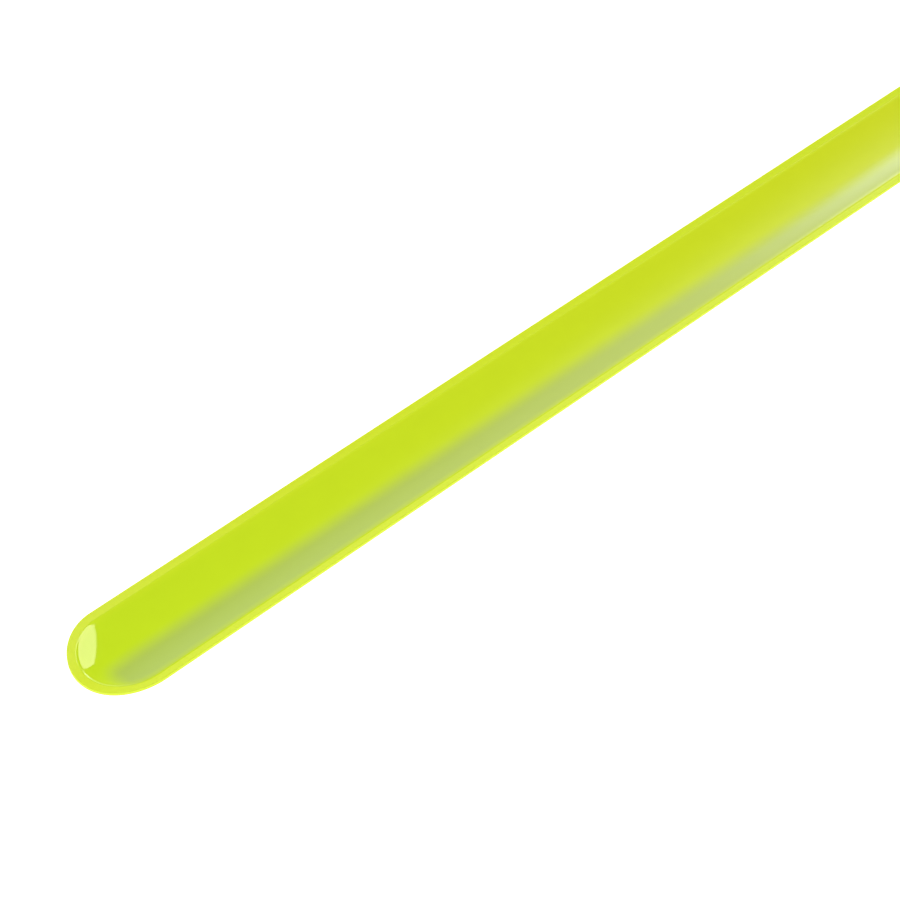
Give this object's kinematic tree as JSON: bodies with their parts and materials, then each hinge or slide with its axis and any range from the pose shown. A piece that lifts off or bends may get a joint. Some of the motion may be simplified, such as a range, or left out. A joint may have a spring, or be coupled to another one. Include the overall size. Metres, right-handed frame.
{
  "type": "reflective slap band",
  "caption": "Straight reflective slap band: a bistable steel strip welded inside a glossy dyed film envelope with rounded ends, which snaps into a coil.",
  "frame": {"origin": "under the middle of the band, on the lowest line of its back", "axes": "+X along the band, +Y across it, +Z out of its decorative front face"},
  "size_m": [0.34, 0.03, 0.0031],
  "materials": {
    "front_film": "glossy clear film over a fluorescent prism layer",
    "back_film": "satin fluorescent film with a fine leather grain",
    "spring_steel": "rolled bright",
    "guard_tape": "woven tape"
  },
  "bodies": {
    "link_01": {"front_cover_01": "front_film", "spring_strip_01": "spring_steel", "back_cover_01": "back_film", "end_guard_left": "guard_tape"},
    "link_02": {"front_cover_02": "front_film", "spring_strip_02": "spring_steel", "back_cover_02": "back_film"},
    "link_03": {"front_cover_03": "front_film", "spring_strip_03": "spring_steel", "back_cover_03": "back_film"},
    "link_04": {"front_cover_04": "front_film", "spring_strip_04": "spring_steel", "back_cover_04": "back_film"},
    "link_05": {"front_cover_05": "front_film", "spring_strip_05": "spring_steel", "back_cover_05": "back_film"},
    "link_06": {"front_cover_06": "front_film", "spring_strip_06": "spring_steel", "back_cover_06": "back_film"},
    "link_07": {"front_cover_07": "front_film", "spring_strip_07": "spring_steel", "back_cover_07": "back_film"},
    "link_08": {"front_cover_08": "front_film", "spring_strip_08": "spring_steel", "back_cover_08": "back_film"},
    "link_09": {"front_cover_09": "front_film", "spring_strip_09": "spring_steel", "back_cover_09": "back_film"},
    "link_10": {"front_cover_10": "front_film", "spring_strip_10": "spring_steel", "back_cover_10": "back_film"},
    "link_11": {"front_cover_11": "front_film", "spring_strip_11": "spring_steel", "back_cover_11": "back_film"},
    "link_12": {"front_cover_12": "front_film", "spring_strip_12": "spring_steel", "back_cover_12": "back_film"},
    "link_13": {"front_cover_13": "front_film", "spring_strip_13": "spring_steel", "back_cover_13": "back_film"},
    "link_14": {"front_cover_14": "front_film", "spring_strip_14": "spring_steel", "back_cover_14": "back_film"},
    "link_15": {"front_cover_15": "front_film", "spring_strip_15": "spring_steel", "back_cover_15": "back_film"},
    "link_16": {"front_cover_16": "front_film", "spring_strip_16": "spring_steel", "back_cover_16": "back_film"},
    "link_17": {"front_cover_17": "front_film", "spring_strip_17": "spring_steel", "back_cover_17": "back_film"},
    "link_18": {"front_cover_18": "front_film", "spring_strip_18": "spring_steel", "back_cover_18": "back_film"},
    "link_19": {"front_cover_19": "front_film", "spring_strip_19": "spring_steel", "back_cover_19": "back_film", "end_guard_right": "guard_tape"}
  },
  "joints": [
    {"name": "snap_curl", "type": "hinge", "parent": "link_10", "child": "link_11", "pos_m": [0.00895, 0, 0], "axis": [0, 1, 0], "range_deg": [0, 31.4]},
    {"name": "curl_01", "type": "hinge", "parent": "link_02", "child": "link_01", "pos_m": [-0.1521, 0, 0], "axis": [0, -1, 0], "range_deg": [0, 28.2]},
    {"name": "curl_02", "type": "hinge", "parent": "link_03", "child": "link_02", "pos_m": [-0.13421, 0, 0], "axis": [0, -1, 0], "range_deg": [0, 28.5]},
    {"name": "curl_03", "type": "hinge", "parent": "link_04", "child": "link_03", "pos_m": [-0.11632, 0, 0], "axis": [0, -1, 0], "range_deg": [0, 28.9]},
    {"name": "curl_04", "type": "hinge", "parent": "link_05", "child": "link_04", "pos_m": [-0.09842, 0, 0], "axis": [0, -1, 0], "range_deg": [0, 29.3]},
    {"name": "curl_05", "type": "hinge", "parent": "link_06", "child": "link_05", "pos_m": [-0.08053, 0, 0], "axis": [0, -1, 0], "range_deg": [0, 29.6]},
    {"name": "curl_06", "type": "hinge", "parent": "link_07", "child": "link_06", "pos_m": [-0.06263, 0, 0], "axis": [0, -1, 0], "range_deg": [0, 30]},
    {"name": "curl_07", "type": "hinge", "parent": "link_08", "child": "link_07", "pos_m": [-0.04474, 0, 0], "axis": [0, -1, 0], "range_deg": [0, 30.5]},
    {"name": "curl_08", "type": "hinge", "parent": "link_09", "child": "link_08", "pos_m": [-0.02684, 0, 0], "axis": [0, -1, 0], "range_deg": [0, 30.9]},
    {"name": "curl_09", "type": "hinge", "parent": "link_10", "child": "link_09", "pos_m": [-0.00895, 0, 0], "axis": [0, -1, 0], "range_deg": [0, 31.4]},
    {"name": "curl_11", "type": "hinge", "parent": "link_11", "child": "link_12", "pos_m": [0.02684, 0, 0], "axis": [0, 1, 0], "range_deg": [0, 32.4]},
    {"name": "curl_12", "type": "hinge", "parent": "link_12", "child": "link_13", "pos_m": [0.04474, 0, 0], "axis": [0, 1, 0], "range_deg": [0, 33]},
    {"name": "curl_13", "type": "hinge", "parent": "link_13", "child": "link_14", "pos_m": [0.06263, 0, 0], "axis": [0, 1, 0], "range_deg": [0, 33.5]},
    {"name": "curl_14", "type": "hinge", "parent": "link_14", "child": "link_15", "pos_m": [0.08053, 0, 0], "axis": [0, 1, 0], "range_deg": [0, 34.1]},
    {"name": "curl_15", "type": "hinge", "parent": "link_15", "child": "link_16", "pos_m": [0.09842, 0, 0], "axis": [0, 1, 0], "range_deg": [0, 34.8]},
    {"name": "curl_16", "type": "hinge", "parent": "link_16", "child": "link_17", "pos_m": [0.11632, 0, 0], "axis": [0, 1, 0], "range_deg": [0, 35.4]},
    {"name": "curl_17", "type": "hinge", "parent": "link_17", "child": "link_18", "pos_m": [0.13421, 0, 0], "axis": [0, 1, 0], "range_deg": [0, 36.2]},
    {"name": "curl_18", "type": "hinge", "parent": "link_18", "child": "link_19", "pos_m": [0.1521, 0, 0], "axis": [0, 1, 0], "range_deg": [0, 36.9]}
  ],
  "couplings": [
    {"joint": "curl_01", "follows": "snap_curl", "ratio": 0.881},
    {"joint": "curl_02", "follows": "snap_curl", "ratio": 0.892},
    {"joint": "curl_03", "follows": "snap_curl", "ratio": 0.904},
    {"joint": "curl_04", "follows": "snap_curl", "ratio": 0.916},
    {"joint": "curl_05", "follows": "snap_curl", "ratio": 0.928},
    {"joint": "curl_06", "follows": "snap_curl", "ratio": 0.941},
    {"joint": "curl_07", "follows": "snap_curl", "ratio": 0.955},
    {"joint": "curl_08", "follows": "snap_curl", "ratio": 0.969},
    {"joint": "curl_09", "follows": "snap_curl", "ratio": 0.984},
    {"joint": "curl_11", "follows": "snap_curl", "ratio": 1.016},
    {"joint": "curl_12", "follows": "snap_curl", "ratio": 1.034},
    {"joint": "curl_13", "follows": "snap_curl", "ratio": 1.052},
    {"joint": "curl_14", "follows": "snap_curl", "ratio": 1.071},
    {"joint": "curl_15", "follows": "snap_curl", "ratio": 1.092},
    {"joint": "curl_16", "follows": "snap_curl", "ratio": 1.113},
    {"joint": "curl_17", "follows": "snap_curl", "ratio": 1.136},
    {"joint": "curl_18", "follows": "snap_curl", "ratio": 1.16}
  ]
}
